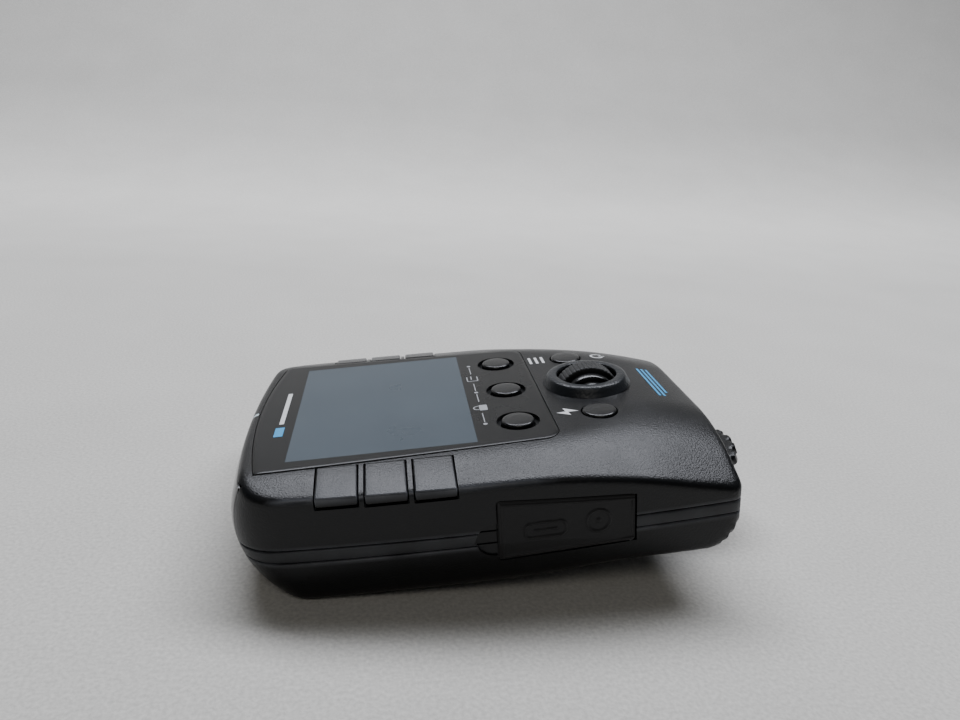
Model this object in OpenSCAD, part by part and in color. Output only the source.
// Wireless flash trigger: a wedge-shaped radio transmitter with a tilted screen, a thumb wheel,
// round keys, side group keys, a rubber port cover and a lockable accessory-shoe foot.
// It is drawn in the panel frame (display centre at the origin, +X towards the foot, +Z out of the
// screen) and module at_rest() then lays it down on its back edge and the corner of its foot.

/* [Body] */
// Greatest width across the sides
body_width = 68; // [62:0.5:84]
// Plan radius of each long side
side_radius = 515; // [420:5:700]
// Where the sides are widest, measured from the display centre
widest_x = 18; // [10:1:26]
// Reach of the rounded screen end from the display centre
screen_end_reach = 28.5; // [28:0.1:36]
// Plan radius of the screen end
screen_end_plan_r = 212; // [170:1:260]
// Side-view radius of the screen end
screen_end_side_r = 16; // [14:0.5:19]
// Depth at which the screen end bulges most
screen_end_bulge_z = 9; // [8:0.5:10]
// Plan radius of the corners at the screen end
screen_corner_r = 6; // [4:0.5:8]
// Reach of the straight foot end from the display centre
foot_end_reach = 63; // [61:0.5:76]
// Plan radius of the corners at the foot end
foot_corner_r = 3; // [2.5:0.1:5]
// Where the top face starts to curve down towards the foot end
top_curve_start = 45; // [42:1:50]
// Radius measure of that curve, as run squared over drop
top_curve = 92; // [75:1:130]
// Where the back rests on a table
rest_edge_x = 17; // [14:0.5:18]
// Depth of the back at that resting edge
rest_edge_depth = 22.4; // [21.8:0.1:24]
// Depth of the back at its deepest line
back_depth = 25; // [24:0.1:30]
// Where the back is deepest
back_deep_x = 18; // [12:1:24]
// Depth of the back in front of the foot
foot_end_depth = 22; // [21:0.1:23]
// Height of the chamfer between the foot end and the back
foot_chamfer = 6; // [4:0.5:7]
// Wall of the shells
wall = 2; // [1.8:0.1:2.1]

/* [Bevels] */
// Half-width of the flat top where the long side bevels start
side_bevel_y = 25.2; // [23:0.1:30]
// Slope of the side bevels
side_bevel_angle = 15.7; // [13:0.1:19]
// How much the side bevels also fall towards the foot end
side_bevel_fall = 0.5; // [0:0.1:1]
// Half-width of the flat top where the nose bevels start
nose_bevel_y = 22.1; // [20:0.1:26]
// Sideways slope of the nose bevels
nose_bevel_angle = 26; // [20:0.5:30]
// Slope of the nose bevels towards the foot end
nose_bevel_fall = 16; // [12:0.5:18]
// Inward draft of the lower side walls
lower_draft = 13.5; // [8:0.5:16]
// Chamfer along the lower side edges
lower_chamfer = 2.5; // [1.5:0.1:3.5]

/* [Band] */
// Depth of the seam above the middle band
band_depth = 11.7; // [11:0.1:12.4]
// Height of the middle band
band_height = 2.4; // [2:0.1:2.9]
// Fall of the band towards the foot end
band_tilt = 0.5; // [0:0.1:0.8]
// Shadow gap of each seam
seam_gap = 0.3; // [0.2:0.05:0.4]

/* [Screen] */
// Active display size towards the foot
display_x = 33.8; // [30:0.1:36]
// Active display size across
display_y = 45.1; // [40:0.1:46]
// Glass border round the active display
display_border = 1.4; // [1:0.1:1.6]
// Thickness of the display glass
display_t = 1.5; // [1.2:0.1:1.6]
// Thickness of the metal display frame
frame_t = 1.6; // [1.2:0.1:2]
// Rim that the display frame adds round the glass
frame_rim = 1.6; // [1.2:0.1:2]
// Thickness of the lens overlay
overlay_t = 0.8; // [0.6:0.05:0.95]
// Half-width of the overlay at its screen end
overlay_half = 25.9; // [25.2:0.1:26.2]
// How much narrower each side of the overlay is at its foot end
overlay_taper = 2.2; // [1.5:0.1:3]
// Reach of the overlay's straight screen-end corners
overlay_left = 21.9; // [21:0.1:22.4]
// Bow of the overlay's screen end
overlay_bow = 2.6; // [1.8:0.1:2.8]
// Reach of the overlay towards the foot
overlay_right = 32; // [31:0.1:32.6]
// Corner radius of the overlay at the foot end
overlay_corner = 3; // [2:0.1:4]

/* [Keys] */
// Distance of the function key row from the display centre
function_key_x = 25.4; // [24.8:0.1:26]
// Spacing of the function keys
function_key_pitch = 15.5; // [13:0.1:17]
// Diameter of a function key
function_key_d = 6.2; // [5.2:0.1:7.4]
// Width of the sunk ring round a function key
function_ring = 1; // [0.6:0.1:1.2]
// Distance of the menu and test keys from the display centre
menu_key_x = 41.2; // [40:0.1:42]
// Distance of the menu and test keys from the centre line
menu_key_y = 14.8; // [14.4:0.1:16]
// Diameter of the menu and test keys
menu_key_d = 6.5; // [5.4:0.1:7]
// How far a round key stands proud
key_rise = 0.5; // [0.3:0.05:0.8]
// Travel of every key
key_travel = 0.4; // [0.3:0.05:0.5]
// Side gap round every key
key_gap = 0.15; // [0.1:0.05:0.25]
// Width of a group key
group_key_w = 7; // [6:0.1:7.4]
// Spacing of the group keys
group_key_pitch = 8.2; // [8:0.1:8.8]
// Middle of the group key row, measured from the display centre
group_key_x = 0.4; // [0:0.1:1]
// Distance of the inner edge of a group key from the body's widest line
group_key_reach = 8; // [7.4:0.1:8.2]
// Height of a group key's front face below the fold
group_key_front = 1.4; // [1.2:0.1:2.8]
// How far a group key stands proud
group_key_rise = 0.3; // [0.2:0.05:0.5]

/* [Thumb wheel] */
// Distance of the wheel from the display centre
dial_x = 42.4; // [41:0.1:43]
// Radius of the bezel at its foot
bezel_r = 9; // [8.6:0.1:9.6]
// Height of the bezel
bezel_h = 2; // [1.8:0.1:2.4]
// Radius of the opening in the bezel
bezel_open_r = 6.15; // [6.1:0.05:6.6]
// Thickness of the bezel's lip at the opening
bezel_lip = 0.8; // [0.6:0.05:0.9]
// Width of the sloped outer wall of the bezel
bezel_slope = 1; // [0.6:0.1:1.2]
// Radius of the wheel's tyre
wheel_r = 6.9; // [6.4:0.1:7]
// Width of the wheel's tyre
tyre_w = 4.2; // [3.4:0.1:4.4]
// Thickness of the tyre
tyre_t = 1.5; // [1.2:0.1:2]
// Radius of the hub's shoulders
shoulder_r = 5.8; // [5.2:0.1:5.9]
// Overall width across the shoulders
shoulder_w = 8.4; // [7:0.1:8.6]
// Radius of the hub's ends
hub_r = 4.7; // [4:0.1:4.8]
// Overall width of the hub
hub_w = 11.2; // [10:0.1:11.2]
// How far the wheel stands above the bezel
wheel_proud = 1.9; // [1.6:0.1:2.2]
// Radius of the axle
axle_r = 1; // [0.8:0.05:1.2]
// Running clearance of the axle in the carrier
axle_clearance = 0.04; // [0.02:0.01:0.08]
// Teeth round the tyre
tyre_teeth = 36; // [24:1:48]
// Travel of the wheel when it is pressed
wheel_travel = 0.4; // [0.3:0.05:0.5]

/* [Ports] */
// Screen-side edge of the port cover
cover_left = 18.4; // [17:0.1:20]
// Length of the port cover
cover_length = 24.2; // [22:0.1:25.5]
// Depth of the port cover's upper edge at its screen side
cover_top_left = 5.8; // [5.4:0.1:6.6]
// Depth of the port cover's upper edge at its foot side
cover_top_right = 7.7; // [7.2:0.1:8.2]
// Depth of the port cover's lower edge at its screen side
cover_low_left = 17.9; // [17:0.1:18.4]
// Depth of the port cover's lower edge at its foot side
cover_low_right = 16.9; // [16.4:0.1:17.4]
// Thickness of the port cover
cover_t = 1.05; // [0.9:0.05:1.2]
// How far the port cover stands proud
cover_proud = 0.15; // [0.1:0.05:0.3]
// Gap round the port cover
cover_gap = 0.15; // [0.1:0.05:0.3]
// Radius of the cover's hinge knuckle
knuckle_r = 0.75; // [0.7:0.05:0.9]
// Radius of the cover's hinge pin
hinge_pin_r = 0.35; // [0.3:0.05:0.4]
// Radius of the thumb notch beside the cover
notch_r = 3.3; // [2.6:0.1:3.8]
// Width of the charging socket's shell
usb_w = 9; // [8.9:0.1:9.2]
// Height of the charging socket's shell
usb_h = 3.2; // [3.1:0.1:3.3]
// Radius of the sync jack's barrel
jack_r = 2.6; // [2.4:0.1:2.8]
// Radius of the sync jack's bore
jack_bore_r = 1.3; // [1.25:0.05:1.8]

/* [Foot] */
// Distance of the foot's top face centre from the display centre
foot_x = 61.2; // [59:0.1:64]
// Depth of the foot's top face centre
foot_z = 20.8; // [20:0.1:22]
// Tilt of the foot's axis
foot_tilt = 20; // [14:0.5:24]
// Radius of the lock wheel
lock_r = 14; // [11.6:0.1:17]
// Thickness of the lock wheel
lock_t = 2.6; // [2.2:0.1:3.4]
// Finger scallops round the lock wheel
lock_scallops = 24; // [16:1:30]
// Radius of the stem that carries the lock wheel
stem_r = 5; // [4:0.1:6]
// Running clearance of the lock wheel on its stem
stem_clearance = 0.06; // [0.02:0.01:0.1]
// Thickness of the clamp plate
clamp_t = 1; // [0.8:0.1:1.4]
// Open gap for the camera's shoe rails
rail_gap = 2.2; // [2:0.1:2.6]
// Clamp travel over one turn of the lock wheel
clamp_travel = 1.2; // [0.8:0.1:1.4]
// Width of the shoe plate
shoe_w = 18.6; // [18.3:0.1:18.7]
// Length of the shoe plate
shoe_l = 18; // [16:0.1:18.4]
// Thickness of the shoe plate
shoe_t = 2; // [1.8:0.05:2.1]
// Radius of the foot's pedestal
pedestal_r = 11.5; // [9.5:0.1:13.8]
// Radius of the lock pin
lock_pin_r = 0.9; // [0.7:0.05:1]

/* [Inside] */
// Thickness of the circuit boards
board_t = 1.2; // [1:0.1:1.6]
// Depth of the main board's upper face
board_depth = 7; // [6.8:0.1:7.4]
// Height of a switch on the main board
switch_h = 1.1; // [0.9:0.05:1.3]
// Length of the battery
battery_x = 40; // [30:0.5:42]
// Width of the battery
battery_y = 32; // [26:0.5:34]
// Thickness of the battery
battery_t = 5; // [4:0.1:6]
// Radius of a screw post
post_r = 2.4; // [2:0.1:2.6]
// Radius of a housing screw's shank
screw_r = 0.8; // [0.7:0.05:1]
// Radius of a housing screw's head
screw_head_r = 1.7; // [1.4:0.1:1.8]
// Overall length of a housing screw
screw_length = 13; // [10:0.5:15]

/* [Hidden] */
$fn = 64;
far = 150;
near_side = -1;
far_side = 1;

// ---- outline of the body, with every face moved inwards by inset ----
half_width = body_width / 2;
function side_y(x, inset) =
    half_width - inset - (x - widest_x) * (x - widest_x) / (2 * side_radius);
function end_x(y, inset) = -screen_end_reach + inset + y * y / (2 * screen_end_plan_r);
screen_corner_x = -screen_end_reach + screen_corner_r + pow(half_width - screen_corner_r, 2)
    / (2 * screen_end_plan_r);
screen_corner_y = side_y(screen_corner_x, 0) - screen_corner_r;
foot_corner_x = foot_end_reach - foot_corner_r;
foot_corner_y = side_y(foot_corner_x, 0) - foot_corner_r;
side_steps = 12;
function half_plan(inset) = concat(
    [for (i = [0 : 4]) let (y = screen_corner_y * i / 4) [end_x(y, inset), y]],
    [for (a = [165 : -15 : 105]) [screen_corner_x + (screen_corner_r - inset) * cos(a),
        screen_corner_y + (screen_corner_r - inset) * sin(a)]],
    [for (i = [0 : side_steps]) let (x = screen_corner_x
        + (foot_corner_x - screen_corner_x) * i / side_steps) [x, side_y(x, inset)]],
    [for (a = [67.5 : -22.5 : 0]) [foot_corner_x + (foot_corner_r - inset) * cos(a),
        foot_corner_y + (foot_corner_r - inset) * sin(a)]]);
function mirrored(points) = [for (i = [len(points) - 1 : -1 : 1]) [points[i][0], -points[i][1]]];
function plan_outline(inset) = concat(half_plan(inset), mirrored(half_plan(inset)));

function top_z(x) = x < top_curve_start ? 0 : -pow(x - top_curve_start, 2) / top_curve;
function ease(t) = t * t * (3 - 2 * t);
back_rise_x = 42;
function back_z(x) =
    x < back_deep_x
        ? -rest_edge_depth - (back_depth - rest_edge_depth) * (x + rest_edge_x)
            / (back_deep_x + rest_edge_x)
        : -back_depth + (back_depth - foot_end_depth)
            * ease(min(1, (x - back_deep_x) / (back_rise_x - back_deep_x)));
top_steps = 8;
back_steps = 8;
chamfer_run = 4;
function side_outline(inset) = concat(
    [[-far / 3, -inset], [top_curve_start, -inset]],
    [for (i = [1 : top_steps]) let (x = top_curve_start
        + (foot_end_reach - top_curve_start) * i / top_steps) [x - inset * i / top_steps,
        top_z(x) - inset]],
    [[foot_end_reach - inset, foot_chamfer - foot_end_depth],
        [foot_end_reach - chamfer_run - inset, inset - foot_end_depth]],
    [for (i = [back_steps : -1 : 0]) let (x = back_deep_x
        + (back_rise_x - back_deep_x) * i / back_steps) [x, back_z(x) + inset]],
    [[-rest_edge_x, back_z(-rest_edge_x) + inset],
        [-rest_edge_x - 3.5, back_z(-rest_edge_x) + 0.9 + inset],
        [-rest_edge_x - 7, back_z(-rest_edge_x) + 3 + inset],
        [-far / 3, back_z(-rest_edge_x) + 6 + inset]]);

// A half-space above the plane z = rise - fall_x * x - fall_y * y, lowered by inset
module above_plane(rise, fall_x, fall_y, inset) {
    translate([0, 0, rise])
        rotate([-atan(fall_y * cos(atan(fall_x))), atan(fall_x), 0])
            translate([-far, -far, -inset])
                cube([2 * far, 2 * far, far]);
}

module screen_end_solid(inset) {
    middle = screen_end_plan_r - screen_end_side_r;
    translate([screen_end_plan_r - screen_end_reach, 0, 0])
        rotate([0, 0, 160])
            rotate_extrude(angle = 40, $fn = 256) {
                translate([60, -60])
                    square([middle - 60, 80]);
                translate([middle, -screen_end_bulge_z])
                    circle(screen_end_side_r - inset, $fn = 96);
            }
}

module plan_solid(inset) {
    translate([0, 0, -60])
        linear_extrude(80)
            polygon(plan_outline(inset));
}

draft_start = band_depth + band_height;
lower_half_width = half_width - (back_depth - draft_start) * tan(lower_draft);
module envelope(inset) {
    difference() {
        intersection() {
            plan_solid(inset);
            translate([0, far / 2, 0])
                rotate([90, 0, 0])
                    linear_extrude(far)
                        polygon(side_outline(inset));
            screen_end_solid(inset);
        }
        for (side = [near_side, far_side]) {
            above_plane(side_bevel_y * tan(side_bevel_angle), tan(side_bevel_fall),
                side * tan(side_bevel_angle), inset);
            above_plane(top_curve_start * tan(nose_bevel_fall) + nose_bevel_y
                * tan(nose_bevel_angle), tan(nose_bevel_fall), side * tan(nose_bevel_angle), inset);
            translate([0, side * half_width, -draft_start])
                rotate([-side * (90 + lower_draft), 0, 0])
                    translate([-far, -far, -inset])
                        cube([2 * far, 2 * far, far]);
            translate([0, side * (lower_half_width - lower_chamfer), -back_depth])
                rotate([-side * 135, 0, 0])
                    translate([-far, -far, -inset])
                        cube([2 * far, 2 * far, far]);
        }
    }
}

// The body between two depths, both measured square to the tilted band
module layer(top, bottom) {
    rotate([0, band_tilt, 0])
        translate([-far, -far, bottom])
            cube([2 * far, 2 * far, top - bottom]);
}

// ---- placing it on a table ----
foot_top = [foot_x, 0, -foot_z];
foot_axis = [sin(foot_tilt), 0, -cos(foot_tilt)];
foot_across = [cos(foot_tilt), 0, sin(foot_tilt)];
clamp_z = -lock_t - 0.1;
pedestal_seat = 1;
shoe_top = clamp_z - clamp_t - rail_gap;
shoe_low = shoe_top - shoe_t;
shoe_corner = foot_top - shoe_low * foot_axis - shoe_l / 2 * foot_across;
rest_tilt = atan2(-rest_edge_depth - shoe_corner[2], shoe_corner[0] + rest_edge_x);
function rest_x(p) = p[0] * cos(rest_tilt) - p[2] * sin(rest_tilt);
function rest_z(p) = p[0] * sin(rest_tilt) + p[2] * cos(rest_tilt);
end_bulge = [screen_end_side_r - screen_end_reach, 0, -screen_end_bulge_z];
rest_left = rest_x(end_bulge) - screen_end_side_r;
rest_right = rest_x(foot_top + lock_t * foot_axis) + lock_r * cos(foot_tilt + rest_tilt);
rest_shift = [-(rest_left + rest_right) / 2, 0, -rest_z(shoe_corner)];

module at_rest() {
    translate(rest_shift)
        rotate([0, -rest_tilt, 0])
            children();
}
module on_foot() {
    translate(foot_top)
        rotate([0, -foot_tilt, 0])
            children();
}

// ---- shapes that several pieces share ----
function overlay_y(x, inset) = overlay_half - inset - overlay_taper
    * pow((x + overlay_left) / (overlay_right + overlay_left), 1.35);
overlay_corner_y = overlay_y(overlay_right - overlay_corner, 0) - overlay_corner;
function half_overlay(inset) = concat(
    [for (i = [0 : 6]) let (y = (overlay_half - inset) * i / 6)
        [-overlay_left + inset - overlay_bow * (1 - pow(i / 6, 2)), y]],
    [for (i = [1 : 8]) let (x = -overlay_left + (overlay_right - overlay_corner
        + overlay_left) * i / 8) [x, overlay_y(x, inset)]],
    [for (a = [67.5 : -22.5 : 0]) [overlay_right - overlay_corner
        + (overlay_corner - inset) * cos(a), overlay_corner_y + (overlay_corner - inset) * sin(a)]]);
module overlay_shape(inset) {
    polygon(concat(half_overlay(inset), mirrored(half_overlay(inset))));
}

module post(x, y, radius, top, bottom) {
    translate([x, y, bottom])
        cylinder(r = radius, h = top - bottom);
}
module block(low, high) {
    translate(low)
        cube(high - low);
}

function_keys = [-1, 0, 1];
round_keys = concat([for (i = function_keys) [function_key_x, i * function_key_pitch]],
    [[menu_key_x, menu_key_y], [menu_key_x, -menu_key_y]]);
group_rows = [-1, 0, 1];
screw_left_x = -rest_edge_x + 5.5;
screw_right_x = foot_end_reach - 11;
screw_left_y = side_y(screw_left_x, wall) - post_r - 0.25;
screw_right_y = 22;
function screw_z(s) = back_z(s[0]) + 0.5;
screws = [for (side = [near_side, far_side]) for (p = [[screw_left_x, screw_left_y],
    [screw_right_x, screw_right_y]]) [p[0], side * p[1]]];
board_low = -board_depth - board_t;
switch_top = -board_depth + switch_h;
stem_low = switch_top + key_travel + 0.05;
wheel_z = bezel_h + wheel_proud - wheel_r;

// Section of a group key, as distances from the centre line and heights
key_inner_y = half_width - group_key_reach;
function bevel_z(x, y) = (side_bevel_y - y) * tan(side_bevel_angle) - x * tan(side_bevel_fall);
function group_key_bottom(x) = bevel_z(x, side_y(x, 0)) - group_key_front;
function group_skirt_y(x) = side_y(x, wall) - 0.3;
module group_key_section(x) {
    outer = side_y(x, 0) + group_key_rise;
    polygon([
        [key_inner_y, bevel_z(x, key_inner_y) + group_key_rise],
        [outer - group_key_rise * 2, bevel_z(x, outer) + group_key_rise * 1.5],
        [outer, bevel_z(x, outer) - group_key_rise],
        [outer, group_key_bottom(x)],
        [group_skirt_y(x), group_key_bottom(x)],
        [group_skirt_y(x), stem_low],
        [key_inner_y, stem_low]]);
}
module group_pocket_section(x) {
    polygon([
        [key_inner_y - key_gap, half_width],
        [half_width + far, half_width],
        [half_width + far, group_key_bottom(x) - key_travel - key_gap],
        [group_skirt_y(x) + key_gap, group_key_bottom(x) - key_travel - key_gap],
        [group_skirt_y(x) + key_gap, -far],
        [key_inner_y - key_gap, -far]]);
}
module along_side(side, x, width) {
    mirror([0, side < 0 ? 1 : 0, 0])
        translate([x - width / 2, 0, 0])
            rotate([90, 0, 90])
                linear_extrude(width)
                    children();
}
module group_key(side, row) {
    x = group_key_x + row * group_key_pitch;
    along_side(side, x, group_key_w)
        group_key_section(x);
}
module group_key_pockets() {
    for (side = [near_side, far_side])
        for (row = group_rows)
            along_side(side, group_key_x + row * group_key_pitch, group_key_w + 2 * key_gap)
                group_pocket_section(group_key_x + row * group_key_pitch);
}

module round_key(x, y, diameter) {
    crown_r = diameter * 2.2;
    translate([x, y, 0]) {
        intersection() {
            translate([0, 0, stem_low])
                cylinder(d = diameter, h = 8);
            translate([0, 0, key_rise - crown_r])
                sphere(crown_r, $fn = 96);
            translate([0, 0, -wall - 0.9])
                cylinder(d = 2 * diameter, h = 8);
        }
        translate([0, 0, -wall - 1.2])
            cylinder(d = diameter + 1.6, h = 0.8);
        translate([0, 0, stem_low])
            cylinder(r = 1.2, h = -wall - 1 - stem_low);
    }
}

// Outline of the port cover seen square on, as length and height
cover_right = cover_left + cover_length;
hinge_x = cover_right - knuckle_r;
hinge_y = -(side_y(hinge_x, 0) - knuckle_r);
module cover_outline(grow) {
    polygon([[cover_left - grow, grow - cover_top_left], [cover_right + grow, grow - cover_top_right],
        [cover_right + grow, -cover_low_right - grow], [cover_left - grow, -cover_low_left - grow]]);
}
module cover_prism(grow) {
    rotate([90, 0, 0])
        linear_extrude(far)
            cover_outline(grow);
}
groove_r = knuckle_r + 0.45;
module cover_recess() {
    intersection() {
        difference() {
            plan_solid(-2);
            envelope(cover_t - cover_proud + 0.1);
        }
        union() {
            cover_prism(cover_gap);
            translate([cover_left - 0.5, 0, -(cover_top_left + cover_low_left) / 2 - 1.4])
                rotate([90, 0, 0])
                    cylinder(r = notch_r, h = far);
            translate([cover_right, -far, -cover_low_right - cover_gap])
                cube([groove_r - knuckle_r + 0.1, far, cover_low_right - cover_top_right
                    + 2 * cover_gap]);
        }
    }
    post(hinge_x, hinge_y, groove_r, cover_gap - cover_top_right, -cover_low_right - cover_gap);
    hinge_pin();
}
module hinge_pin() {
    post(hinge_x, hinge_y, hinge_pin_r, 0.8 - cover_top_right, -cover_low_right - 0.8);
}

// Sockets behind the port cover
port_board_top = -13.8;
usb_x = cover_left + 8;
jack_x = cover_left + 17;
usb_mid = port_board_top + usb_h / 2;
jack_mid = port_board_top + jack_r;
port_face = -(half_width - cover_t - wall / 2 - 0.1);
module usb_outline(grow) {
    r = usb_h / 2 + grow;
    rotate([90, 0, 0])
        linear_extrude(far) {
            for (s = [-1, 1])
                translate([usb_x + s * (usb_w / 2 - usb_h / 2), usb_mid])
                    circle(r);
            translate([usb_x - usb_w / 2 + usb_h / 2, usb_mid - r])
                square([usb_w - usb_h, 2 * r]);
        }
}
module jack_outline(radius) {
    translate([jack_x, 0, jack_mid])
        rotate([90, 0, 0])
            cylinder(r = radius, h = far);
}
module port_holes() {
    usb_outline(0.2);
    jack_outline(jack_r + 0.2);
}

panel_half = 28;
panel_top = 1;
panel_low = 19;
panel_t = 1.15;
module end_skin(out, thickness, grow) {
    intersection() {
        difference() {
            screen_end_solid(-out);
            screen_end_solid(thickness);
        }
        block([-far, -panel_half - grow, -panel_low - grow],
            [-rest_edge_x, panel_half + grow, grow - panel_top]);
    }
}
pipe_w = 1.2;
pipe_t = 0.8;
pipe_low = 7;
module pipe_slot(grow) {
    intersection() {
        difference() {
            screen_end_solid(-1);
            screen_end_solid(pipe_t + grow);
        }
        block([-far, -pipe_w / 2 - grow, -pipe_low - grow], [0, pipe_w / 2 + grow, 5]);
    }
}

label_x = 26;
label_y = 34;
label_t = 0.2;
module on_back(x) {
    translate([x, 0, back_z(x)])
        rotate([0, atan((back_depth - rest_edge_depth) / (back_deep_x + rest_edge_x)), 0])
            children();
}

// ---- the pieces ----
module upper_shell() {
    at_rest() color("#2b2d30") difference() {
        union() {
            difference() {
                intersection() {
                    envelope(0);
                    layer(far, seam_gap / 2 - band_depth);
                }
                envelope(wall);
            }
            intersection() {
                envelope(wall / 2);
                for (s = screws)
                    post(s[0], s[1], post_r, 0, seam_gap / 2 - draft_start);
            }
        }
        for (s = screws)
            post(s[0], s[1], screw_r, -wall - 3.5, -far / 3);
        translate([0, 0, -overlay_t - 0.05])
            linear_extrude(far)
                overlay_shape(-0.05);
        block([-display_x / 2 - display_border - 0.2, -display_y / 2 - display_border - 0.2, -far],
            [display_x / 2 + display_border + 0.2, display_y / 2 + display_border + 0.2, 1]);
        for (k = round_keys)
            post(k[0], k[1], max(function_key_d, menu_key_d) / 2 + key_gap, 5, -far / 3);
        post(dial_x, 0, bezel_r - 0.65, 5, -far / 3);
        group_key_pockets();
        end_skin(5, panel_t + 0.05, 0.05);
        pipe_slot(0.02);
        cover_recess();
        port_holes();
    }
}

module middle_band() {
    at_rest() color("#26282a") difference() {
        intersection() {
            envelope(0);
            layer(-band_depth - seam_gap / 2, -band_depth - band_height + seam_gap / 2);
        }
        envelope(wall);
        end_skin(5, panel_t + 0.05, 0.05);
        cover_recess();
        port_holes();
    }
}

module lower_shell() {
    at_rest() color("#2b2d30") difference() {
        union() {
            difference() {
                intersection() {
                    envelope(0);
                    layer(-band_depth - band_height - seam_gap / 2, -far);
                }
                envelope(wall);
            }
            intersection() {
                envelope(wall / 2);
                union() {
                    for (s = screws)
                        post(s[0], s[1], post_r, -draft_start - seam_gap / 2, -far / 3);
                    on_foot()
                        post(0, 0, stem_r + 2.5, 2.5 + wall, -5);
                }
            }
        }
        for (s = screws) {
            post(s[0], s[1], screw_r, 0, -far / 3);
            post(s[0], s[1], screw_head_r + 0.1, screw_z(s) + 1.2, -far / 3);
        }
        on_foot() {
            post(0, 0, lock_r + 0.5, 0.3, -far / 3);
            post(0, 0, pedestal_r, pedestal_seat, -far / 3);
            post(0, 0, stem_r, far / 3, -far / 3);
        }
        on_back(0)
            translate([-label_x / 2, -label_y / 2, -1])
                cube([label_x, label_y, 1 + label_t + 0.05]);
        end_skin(5, panel_t + 0.05, 0.05);
        cover_recess();
        port_holes();
    }
}

module end_panel() {
    at_rest() color("#17181a") difference() {
        intersection() {
            envelope(0);
            end_skin(1, panel_t, 0);
        }
        pipe_slot(0.02);
    }
}

module status_light_pipe() {
    at_rest() color("#cfe3e6") intersection() {
        envelope(0);
        pipe_slot(0);
    }
}

module screen_overlay() {
    at_rest() color("#25292b") difference() {
        translate([0, 0, -overlay_t])
            linear_extrude(overlay_t)
                overlay_shape(0);
        for (i = function_keys)
            post(function_key_x, i * function_key_pitch, function_key_d / 2 + function_ring, 5, -5);
    }
}

module display_glass() {
    at_rest() color("#48525a")
        block([-display_x / 2 - display_border, -display_y / 2 - display_border,
            -overlay_t - 0.1 - display_t],
            [display_x / 2 + display_border, display_y / 2 + display_border, -overlay_t - 0.1]);
}

frame_x = display_x / 2 + display_border + frame_rim;
frame_y = display_y / 2 + display_border + frame_rim;
frame_low = -overlay_t - 0.1 - display_t - frame_t - 0.05;
module display_frame() {
    at_rest() color("#9a9ea2") difference() {
        block([-frame_x, -frame_y, frame_low], [frame_x, frame_y, frame_low + frame_t]);
        for (side = [near_side, far_side])
            block([-frame_x + 3, side * frame_y - 0.6, frame_low - 1],
                [frame_x - 3, side * frame_y + 0.6, frame_low + frame_t - 0.4]);
    }
}

module display_flex() {
    at_rest() color("#b8772e")
        translate([0, 6, 0])
            rotate([90, 0, 0])
                linear_extrude(12)
                    polygon([[frame_x - 12, frame_low], [frame_x - 1.7, frame_low],
                        [frame_x - 1.7, -board_depth], [frame_x - 8, -board_depth],
                        [frame_x - 8, 0.3 - board_depth], [frame_x - 2, 0.3 - board_depth],
                        [frame_x - 2, frame_low - 0.3], [frame_x - 12, frame_low - 0.3]]);
}

module dial_bezel() {
    at_rest() color("#202224") translate([dial_x, 0, 0]) difference() {
        union() {
            cylinder(r1 = bezel_r, r2 = bezel_r - bezel_slope, h = bezel_h);
            translate([0, 0, -wall])
                cylinder(r = bezel_r - 0.7, h = wall + 0.5);
        }
        translate([0, 0, -wall - 1])
            cylinder(r = bezel_r - 1.6, h = wall + 1 + bezel_h - bezel_lip);
        translate([0, 0, -wall - 1])
            cylinder(r = bezel_open_r, h = far);
    }
}

module across(radius, width) {
    rotate([90, 0, 0])
        cylinder(r = radius, h = width, center = true);
}
module at_wheel() {
    translate([dial_x, 0, wheel_z])
        children();
}
module wheel_hub() {
    at_rest() color("#1c1e20") at_wheel() difference() {
        union() {
            across(hub_r, hub_w);
            across(shoulder_r, shoulder_w);
        }
        across(axle_r, far);
        difference() {
            across(wheel_r + 1, tyre_w);
            across(wheel_r - tyre_t, tyre_w + 1);
        }
    }
}
module wheel_tyre() {
    at_rest() color("#161718") at_wheel() difference() {
        across(wheel_r, tyre_w);
        across(wheel_r - tyre_t, far);
        for (i = [0 : tyre_teeth - 1])
            rotate([0, i * 360 / tyre_teeth, 0])
                translate([wheel_r, 0, 0])
                    across(0.22, far);
    }
}
cheek_in = hub_w / 2 + 0.3;
cheek_t = 1;
module wheel_axle() {
    at_rest() color("silver") at_wheel()
        across(axle_r, 2 * cheek_in + 2 * cheek_t + 1.6);
}
frame_half_x = wheel_r + 0.6;
module wheel_carrier() {
    at_rest() color("#d8d4c8") difference() {
        union() {
            for (side = [near_side, far_side]) {
                low = side > 0 ? cheek_in : -cheek_in - cheek_t;
                block([dial_x - 1.7, low, stem_low], [dial_x + 1.7, low + cheek_t, wheel_z + 1.4]);
                block([dial_x - frame_half_x, low, stem_low],
                    [dial_x + frame_half_x, low + cheek_t, stem_low + 1]);
            }
            for (end = [-1, 1])
                block([dial_x + end * (frame_half_x + 0.6) - 0.6, -cheek_in - cheek_t, stem_low],
                    [dial_x + end * (frame_half_x + 0.6) + 0.6, cheek_in + cheek_t, stem_low + 1]);
            block([dial_x - 2, cheek_in, stem_low], [dial_x + 2, cheek_in + cheek_t + 3, stem_low + 1]);
        }
        at_wheel()
            across(axle_r + axle_clearance, far);
    }
}
module wheel_encoder() {
    at_rest() color("#3a3d40") difference() {
        block([dial_x - 3, -cheek_in - cheek_t - 1.9, stem_low],
            [dial_x + 3, -cheek_in - cheek_t, wheel_z + 0.9]);
        at_wheel()
            across(axle_r + axle_clearance, far);
        block([dial_x - 4, -cheek_in - cheek_t - 3, stem_low + 3],
            [dial_x - 1.8, -cheek_in, far]);
        block([dial_x + 1.8, -cheek_in - cheek_t - 3, stem_low + 3],
            [dial_x + 4, -cheek_in, far]);
    }
}

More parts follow.
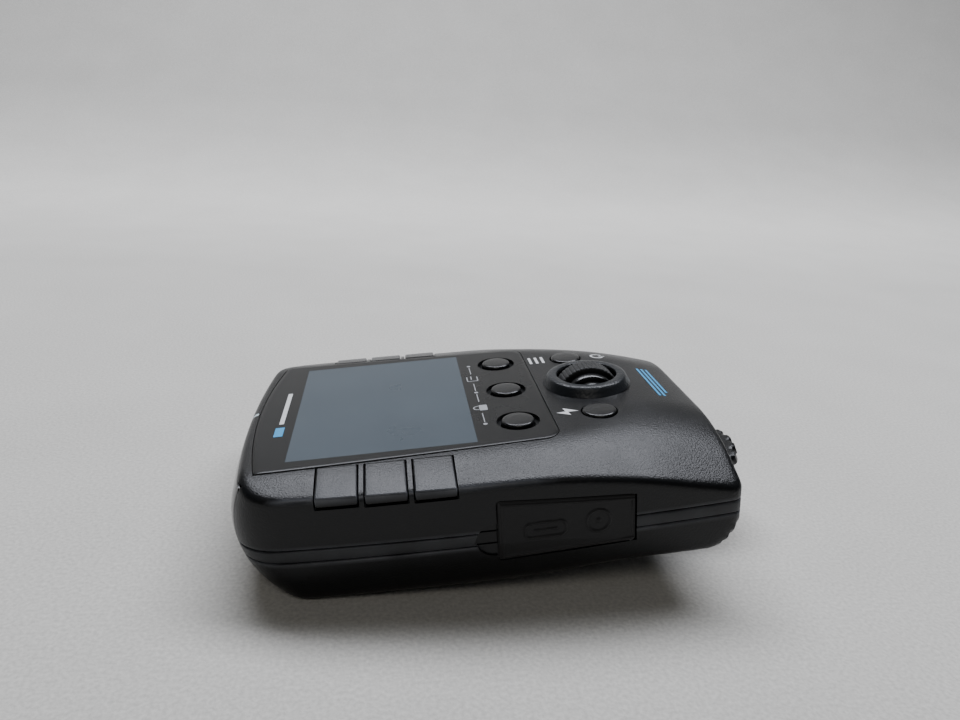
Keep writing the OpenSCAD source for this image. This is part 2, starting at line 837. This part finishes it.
module function_key_near() {
    at_rest() color("#303336") round_key(function_key_x, -function_key_pitch, function_key_d);
}
module function_key_middle() {
    at_rest() color("#303336") round_key(function_key_x, 0, function_key_d);
}
module function_key_far() {
    at_rest() color("#303336") round_key(function_key_x, function_key_pitch, function_key_d);
}
module menu_key() {
    at_rest() color("#303336") round_key(menu_key_x, menu_key_y, menu_key_d);
}
module test_key() {
    at_rest() color("#303336") round_key(menu_key_x, -menu_key_y, menu_key_d);
}
module group_key_near_1() {
    at_rest() color("#303336") group_key(near_side, -1);
}
module group_key_near_2() {
    at_rest() color("#303336") group_key(near_side, 0);
}
module group_key_near_3() {
    at_rest() color("#303336") group_key(near_side, 1);
}
module group_key_far_1() {
    at_rest() color("#303336") group_key(far_side, -1);
}
module group_key_far_2() {
    at_rest() color("#303336") group_key(far_side, 0);
}
module group_key_far_3() {
    at_rest() color("#303336") group_key(far_side, 1);
}

module main_board() {
    at_rest() color("#1f5a3a") difference() {
        intersection() {
            envelope(wall + 0.4);
            block([-screen_end_reach, -half_width, board_low],
                [foot_end_reach - 8, half_width, -board_depth]);
        }
        for (s = screws)
            post(s[0], s[1], post_r + 0.3, 0, -far / 3);
        block([dial_x - wheel_r - 0.5, -hub_w / 2 - 0.3, -far],
            [dial_x + wheel_r + 0.5, hub_w / 2 + 0.3, 0]);
    }
}

switch_y = key_inner_y + 2;
module switches() {
    at_rest() color("#c8c8c4") {
        for (k = round_keys)
            post(k[0], k[1], 1.6, switch_top, -board_depth);
        for (side = [near_side, far_side])
            for (row = group_rows)
                translate([group_key_x + row * group_key_pitch, side * switch_y, -board_depth])
                    block([-1.6, -1.4, 0], [1.6, 1.4, switch_h]);
        post(dial_x, cheek_in + cheek_t + 1.8, 1, switch_top, -board_depth);
    }
}

module antenna() {
    at_rest() color("#c9a24a")
        block([-20.5, -20, board_low - 5], [-19.7, 20, board_low]);
}
module radio_shield() {
    at_rest() color("#b9bcc0")
        block([30, 8, board_low - 2.2], [48, 24, board_low]);
}
battery_low = port_board_top - board_t;
module battery_cell() {
    at_rest() color("#b9bfc6")
        block([-18.5, -10, board_low - 0.6 - battery_t],
            [-18.5 + battery_x, -10 + battery_y, board_low - 0.6]);
}
module battery_pad() {
    at_rest() color("#4a4d52")
        block([-13.5, -4, board_low - 0.6], [-13.5 + battery_x - 10, battery_y - 16, board_low]);
}
module buzzer() {
    at_rest() color("#222426")
        post(-8, -20.5, 4.5, board_low, board_low - 3.2);
}

module port_board() {
    at_rest() color("#1f5a3a")
        block([cover_left + 1, port_face + 1.2, battery_low], [cover_right - 3, -12, port_board_top]);
}
module usb_socket() {
    at_rest() color("#b9bcc0") {
        difference() {
            intersection() {
                usb_outline(0);
                block([0, port_face, -far], [far, port_face + 7.3, 0]);
            }
            intersection() {
                usb_outline(-0.35);
                block([0, -far, -far], [far, port_face + 5.5, 0]);
            }
        }
        block([usb_x - usb_w / 2 + 1.4, port_face + 0.8, usb_mid - 0.35],
            [usb_x + usb_w / 2 - 1.4, port_face + 6, usb_mid + 0.35]);
    }
}
module sync_jack() {
    at_rest() color("#2a2b2c") intersection() {
        difference() {
            jack_outline(jack_r);
            intersection() {
                jack_outline(jack_bore_r);
                block([-far, -far, -far], [far, port_face + 9, far]);
            }
        }
        block([-far, port_face, -far], [far, port_face + 11, far]);
    }
}

module port_cover() {
    at_rest() color("#1a1b1c") difference() {
        union() {
            intersection() {
                difference() {
                    envelope(-cover_proud);
                    envelope(cover_t - cover_proud);
                }
                cover_prism(0);
                block([-far, -far, -far], [hinge_x, 0, far]);
            }
            post(hinge_x, hinge_y, knuckle_r, -cover_top_right, -cover_low_right);
        }
        post(hinge_x, hinge_y, hinge_pin_r + 0.05, 0, -far / 3);
    }
}
module port_cover_pin() {
    at_rest() color("silver") hinge_pin();
}

module foot_pedestal() {
    at_rest() color("#2b2d30") difference() {
        intersection() {
            on_foot()
                post(0, 0, pedestal_r, 6, 0.3);
            plan_solid(1);
        }
        intersection() {
            envelope(0);
            on_foot()
                post(0, 0, far / 3, far / 3, pedestal_seat);
        }
        on_foot()
            post(0, 0, stem_r, far / 3, -far / 3);
    }
}
module foot_stem() {
    at_rest() color("#8d9095") on_foot()
        post(0, 0, stem_r, 2.5 + wall, shoe_top);
}
module lock_wheel() {
    at_rest() color("#242628") on_foot() difference() {
        post(0, 0, lock_r, 0, -lock_t);
        post(0, 0, stem_r + stem_clearance, 5, -far / 3);
        for (i = [0 : lock_scallops - 1])
            rotate([0, 0, (i + 0.5) * 360 / lock_scallops])
                post(lock_r + 0.75, 0, 1.35, 5, -far / 3);
    }
}
module clamp_plate() {
    at_rest() color("#c4c7ca") on_foot() difference() {
        block([-shoe_l / 2, -shoe_w / 2, clamp_z - clamp_t], [shoe_l / 2, shoe_w / 2, clamp_z]);
        post(0, 0, stem_r + 0.1, 5, -far / 3);
    }
}
pin_x = -shoe_l / 2 + 2.2;
module shoe_plate() {
    at_rest() color("#d4d6d8") on_foot() difference() {
        block([-shoe_l / 2, -shoe_w / 2, shoe_low], [shoe_l / 2, shoe_w / 2, shoe_top]);
        post(0, 0, 5.6, shoe_low + 1, shoe_low - 1);
        post(pin_x, 0, lock_pin_r + 0.08, 5, -far / 3);
    }
}
contacts = [[0, 0], [-3.4, 3], [3.4, 3], [-3.4, -3], [3.4, -3]];
contact_r = 0.8;
contact_rise = 0.4;
module shoe_insulator() {
    at_rest() color("#1b1c1d") on_foot() difference() {
        post(0, 0, 5.6, shoe_low + 1, shoe_low);
        for (c = contacts)
            post(c[0], c[1], contact_r, 5, -far / 3);
    }
}
module contact_pins() {
    at_rest() color("#d8b45a") on_foot()
        for (c = contacts)
            post(c[0], c[1], contact_r, shoe_low + 1, shoe_low - contact_rise);
}
module lock_pin() {
    at_rest() color("silver") on_foot()
        post(pin_x, 0, lock_pin_r, clamp_z - clamp_t, shoe_low + 0.2);
}

module housing_screws() {
    at_rest() color("#3c3f42")
        for (s = screws) {
            post(s[0], s[1], screw_r, screw_z(s) + screw_length, screw_z(s) + 1);
            difference() {
                post(s[0], s[1], screw_head_r, screw_z(s) + 1.2, screw_z(s));
                for (a = [0, 90])
                    translate([s[0], s[1], screw_z(s)])
                        rotate([0, 0, a])
                            cube([2.2, 0.45, 1], center = true);
            }
        }
}
module rating_label() {
    at_rest() color("#8f9296")
        on_back(0)
            translate([-label_x / 2 + 0.2, -label_y / 2 + 0.2, 0.02])
                cube([label_x - 0.4, label_y - 0.4, label_t]);
}

upper_shell();
middle_band();
lower_shell();
end_panel();
status_light_pipe();
screen_overlay();
display_glass();
display_frame();
display_flex();
dial_bezel();
wheel_hub();
wheel_tyre();
wheel_axle();
wheel_carrier();
wheel_encoder();
function_key_near();
function_key_middle();
function_key_far();
menu_key();
test_key();
group_key_near_1();
group_key_near_2();
group_key_near_3();
group_key_far_1();
group_key_far_2();
group_key_far_3();
main_board();
switches();
antenna();
radio_shield();
battery_cell();
battery_pad();
buzzer();
port_board();
usb_socket();
sync_jack();
port_cover();
port_cover_pin();
foot_pedestal();
foot_stem();
lock_wheel();
clamp_plate();
shoe_plate();
shoe_insulator();
contact_pins();
lock_pin();
housing_screws();
rating_label();
